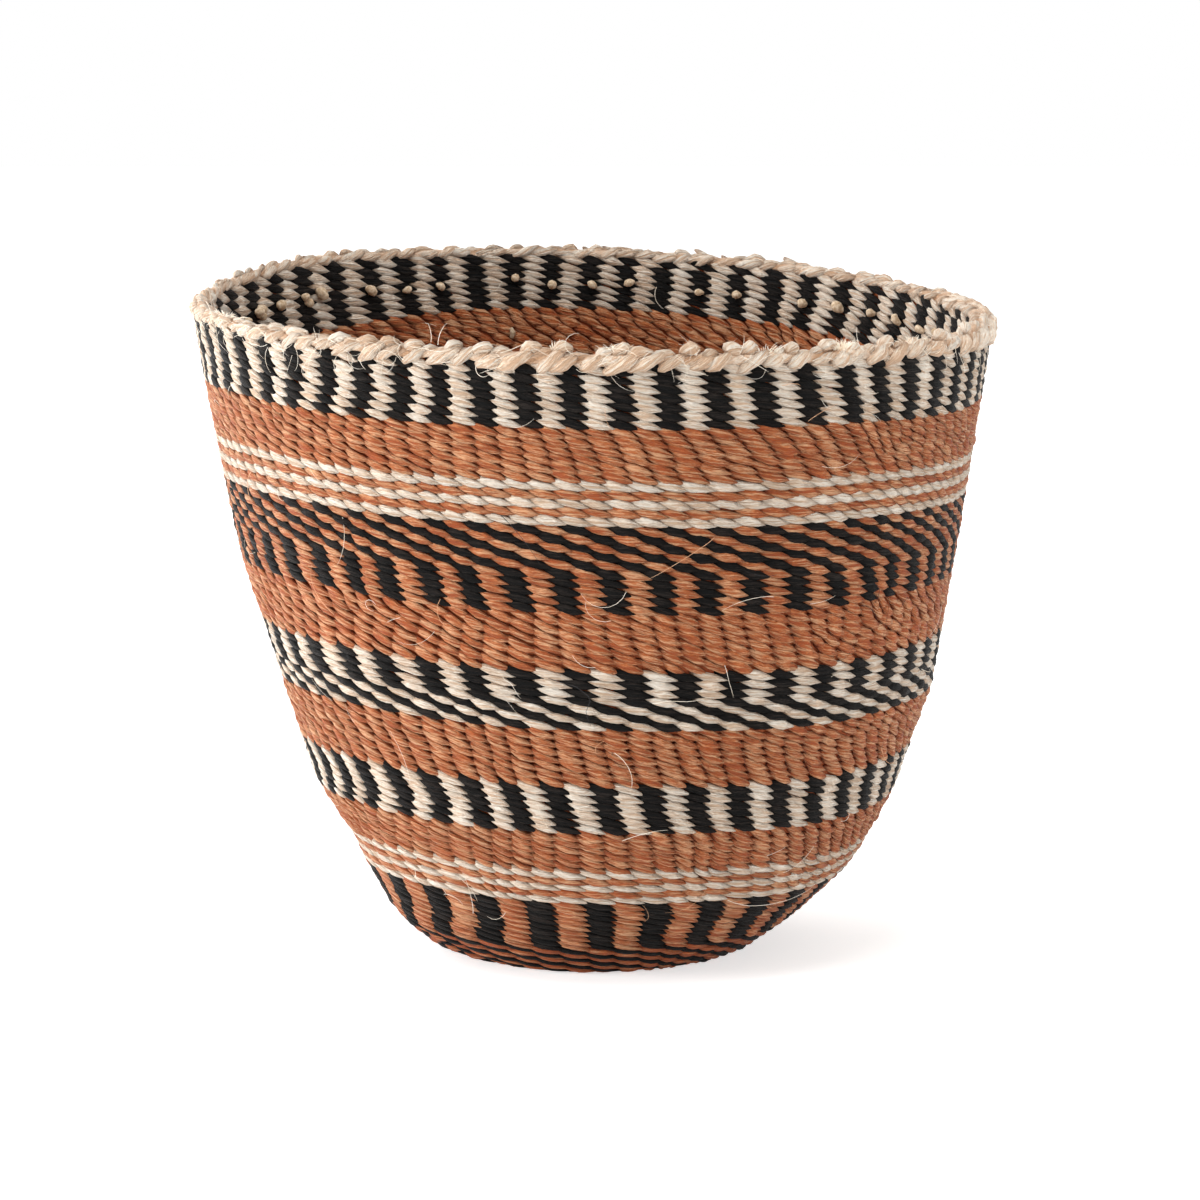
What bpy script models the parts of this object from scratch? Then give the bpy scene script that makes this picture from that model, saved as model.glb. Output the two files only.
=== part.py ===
"""Kiondo basket: a hand-twined sisal basket, wide at the mouth, with a plaited rim and no handles.

Upright sisal warps start in one crossed hub under the basket and run up inside the wall. New warps
are laid in beside the old ones as the basket widens. Pairs of dyed weft strands are twined round
them, course upon course, and each change of yarn starts a new band. The warps' ends are plaited
into the rim.

The basket stands on z = 0 with the middle of its mouth over the origin. X runs to the right of
someone who faces it, Y away from them and Z up. Lengths are in metres, angles in radians.
"""

import math

import bmesh
import bpy

# Weave: the wall is two skins of weft with the warps between them
WEFT_THICKNESS = 0.0015
WARP_THICKNESS = 0.0020
WARP_WIDTH = 0.0020
WARP_CLEARANCE = 0.0004
FIT_GAP = 0.0003

# The wall's outer line: radius and height at the hub, the foot and each place where the slope changes
HUB_RADIUS = 0.0124
FOOT_RADIUS = 0.0490
CURVE_RADIUS = 0.0635
CURVE_HEIGHT = 0.0112
LOWER_RADIUS = 0.0820
LOWER_HEIGHT = 0.0314
WAIST_RADIUS = 0.1005
WAIST_HEIGHT = 0.0594
MIDDLE_RADIUS = 0.1130
MIDDLE_HEIGHT = 0.0971
UPPER_RADIUS = 0.1231
UPPER_HEIGHT = 0.1386
MOUTH_RADIUS = 0.1376
MOUTH_HEIGHT = 0.2227

# How far the basket's middle strays to the right at each of those places, and how far the weave dips
FOOT_DRIFT = 0.0019
LOWER_DRIFT = 0.0039
WAIST_DRIFT = 0.0042
MIDDLE_DRIFT = 0.0047
UPPER_DRIFT = 0.0016
DIP = math.radians(1.3)

# Plaited rim
RIM_WIDTH = 0.0090
RIM_HEIGHT = 0.0076
RIM_ROUNDING = 3.0
WARP_TUCK = 0.0030
TUCK_CLEARANCE = 0.0004

# Facets: each sector has one narrow facet, where the strands cross between two warps
SECTORS = 8
CROSSING_ANGLE = math.radians(1.6)
FACETS_BETWEEN = 3
RIM_POINTS = 12

WALL = 2 * (WEFT_THICKNESS + WARP_CLEARANCE) + WARP_THICKNESS
MERGE_DISTANCE = FIT_GAP / 100

# Bands from the start outward and up: name, courses, colour
TERRACOTTA = (0.46, 0.17, 0.075)
CREAM_AND_BLACK = (0.30, 0.25, 0.19)
CREAM_AND_BROWN = (0.60, 0.40, 0.26)
BROWN_AND_BLACK = (0.20, 0.08, 0.045)
SISAL = (0.66, 0.50, 0.32)

BANDS = (
    ("start_courses", 6, TERRACOTTA),
    ("base_courses", 6, TERRACOTTA),
    ("curve_courses_brown_black", 6, BROWN_AND_BLACK),
    ("weft_stripes_lowest_brown_black", 9, BROWN_AND_BLACK),
    ("weft_lines_lower_cream_brown", 5, CREAM_AND_BROWN),
    ("weft_plain_lowest_brown", 6, TERRACOTTA),
    ("weft_stripes_lower_cream_black", 6, CREAM_AND_BLACK),
    ("weft_plain_lower_brown", 7, TERRACOTTA),
    ("weft_diagonals_lower_cream_black", 3, CREAM_AND_BLACK),
    ("weft_stripes_middle_cream_black", 4, CREAM_AND_BLACK),
    ("weft_plain_middle_brown", 7, TERRACOTTA),
    ("weft_stripes_upper_brown_black", 5, BROWN_AND_BLACK),
    ("weft_diagonals_upper_brown_black", 5, BROWN_AND_BLACK),
    ("weft_lines_upper_cream_brown", 5, CREAM_AND_BROWN),
    ("weft_plain_upper_brown", 6, TERRACOTTA),
    ("weft_stripes_top_cream_black", 7, CREAM_AND_BLACK),
)

# Where the slope changes: courses from the start, radius, height, drift and dip
SLOPES = (
    (0, HUB_RADIUS, 0.0, FOOT_DRIFT, 0.0),
    (12, FOOT_RADIUS, 0.0, FOOT_DRIFT, 0.0),
    (18, CURVE_RADIUS, CURVE_HEIGHT, FOOT_DRIFT, DIP),
    (27, LOWER_RADIUS, LOWER_HEIGHT, LOWER_DRIFT, DIP),
    (38, WAIST_RADIUS, WAIST_HEIGHT, WAIST_DRIFT, DIP),
    (51, MIDDLE_RADIUS, MIDDLE_HEIGHT, MIDDLE_DRIFT, DIP),
    (65, UPPER_RADIUS, UPPER_HEIGHT, UPPER_DRIFT, DIP),
    (93, MOUTH_RADIUS, MOUTH_HEIGHT, 0.0, DIP),
)

# Warps in each sector, and the course where they reach that number side by side
WARPS = ((0, 3), (6, 3), (12, 7), (18, 7), (27, 7), (38, 11), (51, 11), (65, 13), (93, 15))


def wall_line():
    """The wall's outer line: for each place where it bends, (length along it, radius, height, drift, dip)."""
    line = []
    for _, radius, height, drift, dip in SLOPES:
        run = math.hypot(radius - line[-1][1], height - line[-1][2]) if line else 0.0
        length = line[-1][0] + run if line else 0.0
        line.append((length, radius, height, drift, math.tan(dip)))
    low, high = line[-2:]
    grow = RIM_HEIGHT / (high[0] - low[0])
    top = [b + (b - a) * grow for a, b in zip(low[:3], high[:3])]
    return line + [(*top, *high[3:])]


def inward_steps(line):
    """For each bend, the (radius, height) step that goes one unit deeper into the wall on both sides."""
    normals = []
    for low, high in zip(line, line[1:]):
        run = math.hypot(high[1] - low[1], high[2] - low[2])
        normals.append((-(high[2] - low[2]) / run, (high[1] - low[1]) / run))
    steps = []
    for before, after in zip([normals[0]] + normals, normals + [normals[-1]]):
        spread = 1 + before[0] * after[0] + before[1] * after[1]
        steps.append(((before[0] + after[0]) / spread, (before[1] + after[1]) / spread))
    return steps


LINE = wall_line()
STEPS = inward_steps(LINE)


def length_at(course):
    """The length along the outer line where a course starts."""
    for low, high, start, end in zip(SLOPES, SLOPES[1:], LINE, LINE[1:]):
        if low[0] <= course <= high[0]:
            return start[0] + (end[0] - start[0]) * (course - low[0]) / (high[0] - low[0])


def facet_edges():
    """The angles of the facets' edges, once round from a seam that lies clear of the crossings."""
    wide = (math.tau / SECTORS - CROSSING_ANGLE) / FACETS_BETWEEN
    edges = [CROSSING_ANGLE / 2 + wide]
    for _ in range(SECTORS):
        for width in [wide] * (FACETS_BETWEEN - 1) + [CROSSING_ANGLE, wide]:
            edges.append(edges[-1] + width)
    return edges


EDGES = facet_edges()


def facet_share(angle):
    """How far out the faceted wall lies at an angle, as a share of its corners' radius."""
    turned = angle if angle >= EDGES[0] else angle + math.tau
    for low, high in zip(EDGES, EDGES[1:]):
        if low <= turned <= high:
            middle = (low + high) / 2
            return math.cos((high - low) / 2) / math.cos(turned - middle)
    return 1.0


def place(angle, length, depth):
    """A point of the basket: angle round it, length along the outer line, depth into the wall."""
    n = max(i for i in range(len(LINE) - 1) if i == 0 or LINE[i][0] <= length + MERGE_DISTANCE)
    low, high = LINE[n], LINE[n + 1]
    share = (length - low[0]) / (high[0] - low[0])
    radius, height, drift, dip = (a + (b - a) * share for a, b in zip(low[1:], high[1:]))
    out, up = (a + (b - a) * share for a, b in zip(STEPS[n], STEPS[n + 1]))
    around = (radius + out * depth) * facet_share(angle)
    across = around * math.cos(angle)
    return (across + drift, around * math.sin(angle), height + up * depth - dip * across)


def wrap(bm):
    """Move a flat shape, drawn as (angle, length, depth), onto the basket and join its two ends."""
    for vert in bm.verts:
        vert.co = place(*vert.co)
    bmesh.ops.remove_doubles(bm, verts=bm.verts, dist=MERGE_DISTANCE)
    bmesh.ops.recalc_face_normals(bm, faces=bm.faces)


def material(name, colour, roughness):
    """A plain dyed or natural sisal."""
    made = bpy.data.materials.new(name)
    made.use_nodes = True
    shader = made.node_tree.nodes["Principled BSDF"]
    shader.inputs["Base Color"].default_value = (*colour, 1.0)
    shader.inputs["Roughness"].default_value = roughness
    shader.inputs["Metallic"].default_value = 0.0
    made.diffuse_color = (*colour, 1.0)
    return made


def finish(name, bm, colour):
    """Turn a wrapped shape into a named object with its own material, smooth round the basket."""
    mesh = bpy.data.meshes.new(name)
    bm.to_mesh(mesh)
    bm.free()
    mesh.shade_smooth()
    mesh.set_sharp_from_angle(angle=math.radians(30))
    mesh.materials.append(material(name, colour, 0.9))
    made = bpy.data.objects.new(name, mesh)
    bpy.context.scene.collection.objects.link(made)
    made.parent = bpy.data.objects["basket"]
    return made


def weft_band(name, first_course, courses, colour):
    """A band of twined courses: an outer and an inner skin of weft, joined where the strands cross."""
    low = length_at(first_course) + FIT_GAP / 2
    high = length_at(first_course + courses) - FIT_GAP / 2
    depths = (0.0, WEFT_THICKNESS, WALL - WEFT_THICKNESS, WALL)
    bm = bmesh.new()
    grid = [[bm.verts.new((angle, low, depth)) for depth in depths] for angle in EDGES]
    for n, (here, there) in enumerate(zip(grid, grid[1:])):
        crossing = n % (1 + FACETS_BETWEEN) == FACETS_BETWEEN - 1
        for row in (0, 1, 2) if crossing else (0, 2):
            bm.faces.new((here[row], there[row], there[row + 1], here[row + 1]))
    up = bmesh.ops.extrude_face_region(bm, geom=bm.faces[:])["geom"]
    raised = [item for item in up if isinstance(item, bmesh.types.BMVert)]
    bmesh.ops.translate(bm, verts=raised, vec=(0.0, high - low, 0.0))
    open_ends(bm, EDGES[0], EDGES[-1])
    wrap(bm)
    return finish(name, bm, colour)


def open_ends(bm, first, last):
    """Take away the faces that would lie back to back where a wrapped shape meets itself."""
    near = MERGE_DISTANCE
    ends = [
        face
        for face in bm.faces
        if all(abs(v.co.x - first) < near for v in face.verts)
        or all(abs(v.co.x - last) < near for v in face.verts)
    ]
    bmesh.ops.delete(bm, geom=ends, context="FACES_ONLY")


def warp_row(course, count):
    """The two edges of every warp at a course, as pairs of angles."""
    radius = math.hypot(*place(0.0, length_at(course), WALL / 2)[:2])
    half = WARP_WIDTH / radius / 2
    middles = [math.tau * (i + 0.5) / (SECTORS * count) for i in range(SECTORS * count)]
    return [(middle - half, middle + half) for middle in middles]


def forks(parents, children):
    """For each parent, how many children start side by side on its end."""
    owners = [j * parents // children for j in range(children)]
    return [owners.count(i) for i in range(parents)]


def warp_rows():
    """The warps' cross lines: for each row its length along the wall and the angles across each warp."""
    rows = [(length_at(course), warp_row(course, count)) for course, count in WARPS]
    rows[0] = (-FIT_GAP / 2, rows[0][1])
    rows.append((LINE[-2][0] + WARP_TUCK, rows[-1][1]))
    split = []
    for (length, warps), (_, after) in zip(rows, rows[1:] + rows[-1:]):
        counts = forks(len(warps), len(after))
        angles = [[a + (b - a) * i / n for i in range(n + 1)] for (a, b), n in zip(warps, counts)]
        split.append((length, angles))
    return split


def warp_cage():
    """All the warps as one body: crossed and tied at the hub, each forked where another is laid in."""
    outer = (WALL - WARP_THICKNESS) / 2
    bm = bmesh.new()
    rows = []
    for length, warps in warp_rows():
        rows.append([[bm.verts.new((angle, length, outer)) for angle in warp] for warp in warps])
    for parents, children in zip(rows, rows[1:]):
        feet = [pair for parent in parents for pair in zip(parent, parent[1:])]
        for (left, right), child in zip(feet, children):
            bm.faces.new([left, right] + child[::-1])
    hub = bm.faces.new([vert for warp in rows[0] for vert in warp])
    up = bmesh.ops.extrude_face_region(bm, geom=bm.faces[:])["geom"]
    raised = [item for item in up if isinstance(item, bmesh.types.BMVert)]
    bmesh.ops.translate(bm, verts=raised, vec=(0.0, 0.0, WARP_THICKNESS))
    hubs = [f for f in up if isinstance(f, bmesh.types.BMFace) and len(f.verts) == len(hub.verts)]
    inner_hub = hubs[0]
    for face, depth in ((hub, -outer), (inner_hub, outer)):
        pulled = bmesh.ops.extrude_discrete_faces(bm, faces=[face])["faces"][0]
        bmesh.ops.translate(bm, verts=pulled.verts[:], vec=(0.0, 0.0, depth))
    wrap(bm)
    return finish("warps", bm, SISAL)


def rim_outline():
    """The rim's section as (length, depth): a rounded square with a groove for the warps' ends."""
    bottom = LINE[-2][0] + FIT_GAP / 2
    top = LINE[-1][0]
    groove = LINE[-2][0] + WARP_TUCK + TUCK_CLEARANCE
    near, far = WEFT_THICKNESS, WALL - WEFT_THICKNESS
    outline = [(bottom, far), (groove, far), (groove, near), (bottom, near)]
    for i in range(1, RIM_POINTS - 1):
        turn = math.tau * (i + 0.5) / RIM_POINTS
        aside, down = math.sin(turn), math.cos(turn)
        depth = WALL / 2 - RIM_WIDTH / 2 * math.copysign(abs(aside) ** (2 / RIM_ROUNDING), aside)
        rise = (1 - math.copysign(abs(down) ** (2 / RIM_ROUNDING), down)) / 2
        outline.append((bottom + (top - bottom) * rise, depth))
    return outline


def rim_braid():
    """The plaited rim, swept once round the mouth over the ends of the warps."""
    bm = bmesh.new()
    verts = [bm.verts.new((EDGES[0], length, depth)) for length, depth in rim_outline()]
    edges = [bm.edges.new(pair) for pair in zip(verts, verts[1:] + verts[:1])]
    for here, there in zip(EDGES, EDGES[1:]):
        swept = bmesh.ops.extrude_edge_only(bm, edges=edges)["geom"]
        edges = [item for item in swept if isinstance(item, bmesh.types.BMEdge)]
        moved = [item for item in swept if isinstance(item, bmesh.types.BMVert)]
        bmesh.ops.translate(bm, verts=moved, vec=(there - here, 0.0, 0.0))
    wrap(bm)
    return finish("rim_braid", bm, SISAL)


def build():
    """Make the whole basket."""
    for item in list(bpy.data.objects):
        bpy.data.objects.remove(item, do_unlink=True)
    basket = bpy.data.objects.new("basket", None)
    bpy.context.scene.collection.objects.link(basket)
    first_course = 0
    for name, courses, colour in BANDS:
        weft_band(name, first_course, courses, colour)
        first_course += courses
    warp_cage()
    rim_braid()


build()
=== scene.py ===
# %% [markdown]
# # A kiondo basket, stitch by stitch
#
# A kiondo is twined: upright sisal cords, the warps, stand side by side, and two weft strands go
# round the basket together, one in front of each warp and one behind it, and change places in every
# gap. Nothing on it is woven flat, so a picture of a weave on a smooth bowl would look wrong at once.
# Here every stitch is a real shape. One repeat of a strand is modelled flat, copied round the row
# with an Array modifier, and the flat strip is then wrapped onto the basket's wall.

# %% Load the frame
import math

import bmesh
import bpy
import numpy as np
from mathutils import Matrix, Vector


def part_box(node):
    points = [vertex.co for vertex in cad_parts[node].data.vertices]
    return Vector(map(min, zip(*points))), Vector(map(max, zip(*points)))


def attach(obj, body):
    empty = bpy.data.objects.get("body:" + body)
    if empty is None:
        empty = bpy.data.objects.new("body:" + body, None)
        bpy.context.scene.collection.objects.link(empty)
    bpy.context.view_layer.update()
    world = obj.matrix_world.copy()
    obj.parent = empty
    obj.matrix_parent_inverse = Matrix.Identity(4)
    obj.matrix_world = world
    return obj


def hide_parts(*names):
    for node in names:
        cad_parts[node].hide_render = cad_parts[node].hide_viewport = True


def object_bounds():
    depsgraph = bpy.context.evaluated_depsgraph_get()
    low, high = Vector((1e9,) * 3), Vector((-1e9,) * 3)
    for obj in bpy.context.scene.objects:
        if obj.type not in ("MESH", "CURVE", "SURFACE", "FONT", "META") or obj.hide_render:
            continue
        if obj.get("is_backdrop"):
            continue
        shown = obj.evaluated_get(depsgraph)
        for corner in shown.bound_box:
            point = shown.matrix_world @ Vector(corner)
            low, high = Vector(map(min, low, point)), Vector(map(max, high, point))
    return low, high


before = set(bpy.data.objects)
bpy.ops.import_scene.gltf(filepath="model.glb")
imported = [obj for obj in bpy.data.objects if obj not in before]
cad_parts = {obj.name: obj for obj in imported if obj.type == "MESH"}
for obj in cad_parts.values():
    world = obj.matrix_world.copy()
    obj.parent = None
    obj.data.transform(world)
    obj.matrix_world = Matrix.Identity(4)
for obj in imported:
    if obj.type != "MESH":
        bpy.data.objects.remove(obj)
cad_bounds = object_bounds()
rng = np.random.default_rng(7)
print("CAD box in metres:", cad_bounds)

# %% [markdown]
# ## Camera, floor and light
#
# The photograph looks down at the basket by about ten degrees, through a long lens from two metres
# away, which keeps its sides almost parallel. The world shows white to the camera and to gloss, and
# lights the basket at a plain level. Four broad lamps shape it: the key from the left, a weak fill from
# the right, one from above for the rim and the inside, and one from behind.

# %% Camera at the photograph's angle
SENSOR = 36.0
CAMERA_DISTANCE = 2.024
CAMERA_PITCH = math.radians(9.5)
FRAME_WIDTH = 0.420
AIM = Vector((0.0019, 0.0, 0.1225))

bpy.context.scene.view_settings.view_transform = "Standard"


def set_down(name, data):
    """A new object in the scene, at the origin."""
    thing = bpy.data.objects.new(name, data)
    bpy.context.scene.collection.objects.link(thing)
    return thing


camera_data = bpy.data.cameras.new("photo_camera")
camera_data.sensor_width = SENSOR
camera_data.lens = SENSOR * CAMERA_DISTANCE / FRAME_WIDTH
camera = set_down("photo_camera", camera_data)
back = Vector((0.0, -math.cos(CAMERA_PITCH), math.sin(CAMERA_PITCH)))
camera.location = AIM + back * CAMERA_DISTANCE
camera.rotation_euler = (math.pi / 2 - CAMERA_PITCH, 0.0, 0.0)
bpy.context.scene.camera = camera
print(f"lens {camera_data.lens:.1f} mm")

# %% White world that lights gently
WORLD_LIGHT = 0.50


def add_node(tree, kind, *wired, **given):
    """A shader node: wired feeds its first inputs, given sets inputs or settings by name."""
    made = tree.nodes.new("ShaderNode" + kind)
    for socket, source in zip(made.inputs, wired):
        tree.links.new(source, socket)
    for name, value in given.items():
        if hasattr(made, name):
            setattr(made, name, value)
        else:
            made.inputs[name.replace("_", " ")].default_value = value
    return made


world = bpy.data.worlds.new("studio")
bpy.context.scene.world = world
world.use_nodes = True
tree = world.node_tree
tree.nodes.clear()
rays = add_node(tree, "LightPath").outputs
straight = add_node(tree, "Math", rays["Is Camera Ray"], rays["Is Glossy Ray"], operation="MAXIMUM")
through = add_node(tree, "Math", straight.outputs[0], rays["Is Transmission Ray"], operation="MAXIMUM")
light = add_node(tree, "Background", Color=(1.0, 0.985, 0.96, 1), Strength=WORLD_LIGHT)
shown = add_node(tree, "Background", Color=(1, 1, 1, 1))
mix = add_node(tree, "MixShader", through.outputs[0], light.outputs[0], shown.outputs[0])
add_node(tree, "OutputWorld", mix.outputs[0])
print("world light", WORLD_LIGHT)


# %% Lamps
def area_lamp(name, spot, size, watts):
    """A soft lamp that looks at the basket."""
    data = bpy.data.lights.new(name, "AREA")
    data.shape = "DISK"
    data.size = size
    data.energy = watts
    lamp = set_down(name, data)
    lamp.location = spot
    lamp.rotation_euler = (AIM - Vector(spot)).to_track_quat("-Z", "Y").to_euler()
    print(name, watts, "W")


area_lamp("key", (-2.65, -0.72, 0.50), 1.1, 74.0)
area_lamp("fill", (2.0, -1.1, 0.22), 1.4, 23.0)
area_lamp("top", (-0.2, -0.8, 2.0), 1.2, 23.0)
area_lamp("back", (-1.9, 1.3, 0.9), 1.5, 34.0)

# %% Floor, white to the camera where no shadow falls
FLOOR_SIZE = 3.0
# the basket's lowest points lie exactly at nought, so the floor stays just clear of them
FLOOR_BELOW = 0.0003
FLOOR_GLOW = 0.40
FLOOR_BOUNCE = 0.20


def finish_of(name, rough):
    """A new material, its nodes and its shader."""
    made = bpy.data.materials.new(name)
    made.use_nodes = True
    shader = made.node_tree.nodes["Principled BSDF"]
    shader.inputs["Roughness"].default_value = rough
    return made, made.node_tree, shader.inputs


bm = bmesh.new()
below = Matrix.Translation((0, 0, -FLOOR_BELOW))
bmesh.ops.create_grid(bm, x_segments=1, y_segments=1, size=FLOOR_SIZE, matrix=below)
floor_mesh = bpy.data.meshes.new("floor")
bm.to_mesh(floor_mesh)
bm.free()
floor = set_down("floor", floor_mesh)
floor_look, tree, shader = finish_of("pale_floor", 0.9)
shader["Base Color"].default_value = (0.88, 0.88, 0.88, 1)
shader["Specular IOR Level"].default_value = 0.0
shader["Emission Color"].default_value = (1, 1, 1, 1)
rays = add_node(tree, "LightPath").outputs
glow = add_node(tree, "Math", rays["Is Camera Ray"], operation="MULTIPLY_ADD")
glow.inputs[1].default_value = FLOOR_GLOW
glow.inputs[2].default_value = FLOOR_BOUNCE
tree.links.new(glow.outputs[0], shader["Emission Strength"])
floor_mesh.materials.append(floor_look)
floor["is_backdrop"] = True
print("floor", 2 * FLOOR_SIZE, "m square")

# %% [markdown]
# ## The wall's line
#
# Every band of weft is one CAD node, so the nodes themselves say where the wall runs: the widest ring
# of a band's corners is its upper outer edge. Read from the hub outward and up, these edges give the
# wall's outer line. It was made by hand: its middle strays as it rises, and the rows dip to the right.

# %% The bands, from the hub outward and up
WALL = 0.0058
DIP = math.radians(1.3)
EDGE_NEAR = 0.0002

# node, rows, warps in the first and last row, how its two strands are coloured, how far each row's warps
# shift to the left in warps, how much steeper than LEAN its stitches lie, and how tightly they are pulled
BANDS = (
    ("start_courses", 6, 24, 24, "plain", 0.0, 1.0, 0.0),
    ("base_courses", 6, 28, 48, "plain", 0.0, 1.0, 0.6),
    ("curve_courses_brown_black", 6, 48, 48, "diagonals", 0.04, 1.0, 0.0),
    ("weft_stripes_lowest_brown_black", 9, 50, 50, "stripes", 0.02, 1.75, 0.0),
    ("weft_lines_lower_cream_brown", 5, 60, 74, "lines", 0.05, 1.15, 0.0),
    ("weft_plain_lowest_brown", 6, 76, 84, "plain", 0.05, 1.9, 0.6),
    ("weft_stripes_lower_cream_black", 6, 84, 84, "stripes", 0.10, 1.25, 0.0),
    ("weft_plain_lower_brown", 7, 84, 84, "plain", 0.05, 1.7, 0.6),
    ("weft_diagonals_lower_cream_black", 3, 84, 84, "diagonals", 0.05, 1.0, 0.0),
    ("weft_stripes_middle_cream_black", 4, 84, 84, "stripes", 0.055, 1.0, 0.0),
    ("weft_plain_middle_brown", 6, 86, 100, "plain", 0.05, 1.65, 0.6),
    ("weft_stripes_upper_brown_black", 5, 100, 100, "stripes", 0.08, 1.15, 0.0),
    ("weft_diagonals_upper_brown_black", 5, 100, 100, "diagonals", 0.05, 1.0, 0.0),
    ("weft_lines_upper_cream_brown", 5, 100, 100, "lines", 0.05, 1.0, 0.0),
    ("weft_plain_upper_brown", 6, 100, 110, "plain", 0.05, 1.45, 0.35),
    ("weft_stripes_top_cream_black", 7, 110, 110, "stripes", 0.0, 1.2, 0.0),
)


def each_row(column):
    """What a column of the bands says, row by row."""
    return [band[column] for band in BANDS for _ in range(band[1])]


def upper_edge(node):
    """A band's upper outer edge: its radius, its height and how far its middle lies to the right."""
    low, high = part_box(node)
    middle, radius = (low.x + high.x) / 2, (high.x - low.x) / 2
    corners = [v.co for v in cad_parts[node].data.vertices]
    edge = [c.z for c in corners if math.hypot(c.x - middle, c.y) > radius - EDGE_NEAR]
    return radius, sum(edge) / len(edge), middle


def wall_line():
    """The outer line at every band's edge: row, radius, height and drift."""
    corners = [v.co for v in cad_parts["start_courses"].data.vertices]
    _, _, middle = upper_edge("start_courses")
    hub = min(math.hypot(c.x - middle, c.y) for c in corners)
    line = [(0, hub, 0.0, middle)]
    for node, rows, *_ in BANDS:
        radius, height, drift = upper_edge(node)
        flat = node in ("start_courses", "base_courses")
        line.append((line[-1][0] + rows, radius, 0.0 if flat else height, drift))
    return line


LINE = wall_line()
for row, radius, height, drift in LINE:
    print(f"row {row:3d}  radius {radius * 1000:6.1f}  height {height * 1000:6.1f}  drift {drift * 1000:5.1f}")

# %% A smooth line through the edges
FINE = 8
TOP_ROW = LINE[-1][0]
SPARE_ROWS = 4
line_rows = np.arange(-2 * FINE, (TOP_ROW + SPARE_ROWS) * FINE + 1) / FINE


def smooth_column(column):
    """One column of the wall's line, read at every eighth of a row, its bends eased."""
    known = np.array([entry[0] for entry in LINE], float)
    values = np.array([entry[column] for entry in LINE], float)
    first = (values[1] - values[0]) / (known[1] - known[0])
    last = (values[-1] - values[-2]) / (known[-1] - known[-2])
    known = np.concatenate([[known[0] - 2], known, [known[-1] + SPARE_ROWS]])
    values = np.concatenate([[values[0] - 2 * first], values, [values[-1] + last * SPARE_ROWS]])
    read = np.interp(line_rows, known, values)
    reach = 2 * FINE
    weights = np.hanning(2 * reach + 1)
    before = 2 * read[0] - read[reach:0:-1]
    after = 2 * read[-1] - read[-2 : -reach - 2 : -1]
    return np.convolve(np.concatenate([before, read, after]), weights / weights.sum(), mode="valid")


radii, heights, drifts = (smooth_column(n) for n in (1, 2, 3))
heights = np.maximum(heights, 0.0)
out_step, up_step = np.gradient(radii), np.gradient(heights)
run = np.hypot(out_step, up_step)
normal_out, normal_up = -up_step / run, out_step / run
row_height = run * FINE
HUB, MOUTH = 2 * FINE, -SPARE_ROWS * FINE
for name, at in (("hub", HUB), ("mouth", MOUTH)):
    print(f"at the {name} a row is {row_height[at] * 1000:.2f} mm high")


# %% Waver
def make_waver(size, waves, tallest):
    """Slow waves round and up the basket, drawn once: no hand twines quite level."""
    drawn = [
        (rng.integers(1, 8), rng.uniform(0, tallest), rng.uniform(0, math.tau), rng.uniform(0.5, 1))
        for _ in range(waves)
    ]
    total = sum(wave[3] for wave in drawn)

    def waver(angle, row):
        """The wave's size at these angles and rows."""
        value = sum(s * np.sin(n * angle + k * row + p) for n, k, p, s in drawn)
        return size * value / total

    return waver


level_waver = make_waver(0.5, 9, 0.12)
column_waver = make_waver(0.012, 7, 0.07)
bulge_waver = make_waver(0.0010, 8, 0.1)


# metres that the rows rise or sink, by row, at the sides and at the back, where the front stays level
LIFT_ROWS = (TOP_ROW - 28, TOP_ROW - 18, TOP_ROW - 7, TOP_ROW)
SIDE_LIFT = (0.0, -0.0022, -0.0022, 0.0)
BACK_LIFT = (0.0, 0.0060, 0.0085, 0.0058)
# metres that the left side bellies out
LEFT_FULLER = 0.0016
# metres that the foot bellies out further to the left and to the right, by row
FOOT_ROWS = (8, 14, 21, 30, 38)
FOOT_LEFT = (0.0, 0.0062, 0.0050, 0.0, 0.0)
FOOT_RIGHT = (0.0, 0.0024, 0.0030, 0.0030, 0.0)
# metres that the back rim rises where it is highest, and degrees to the right of the front where that is
BACK_PEAK, PEAK_AT, PEAK_WIDE = 0.0028, -128.0, 22.0
PEAK_ROWS = 7
# rows over which the waver grows at the hub and dies away at the rim, and how much of it the rim keeps
WAVER_GROWS, WAVER_DIES, RIM_WAVER = 12, 6, 0.3
# the row above which the left side is fully out, and the rows between which the dip sets in
LEFT_FULL_ROW = 20
DIP_FROM, DIP_FULL = 12, 28


def right_of_front(degrees):
    """The angle that lies this many degrees to the right of the front's middle."""
    return np.radians(degrees) - math.pi / 2


def degrees_right(angle):
    """How many degrees to the right of the front's middle an angle lies, from -180 to 180."""
    return (np.degrees(angle) + 90 + 180) % 360 - 180


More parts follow.
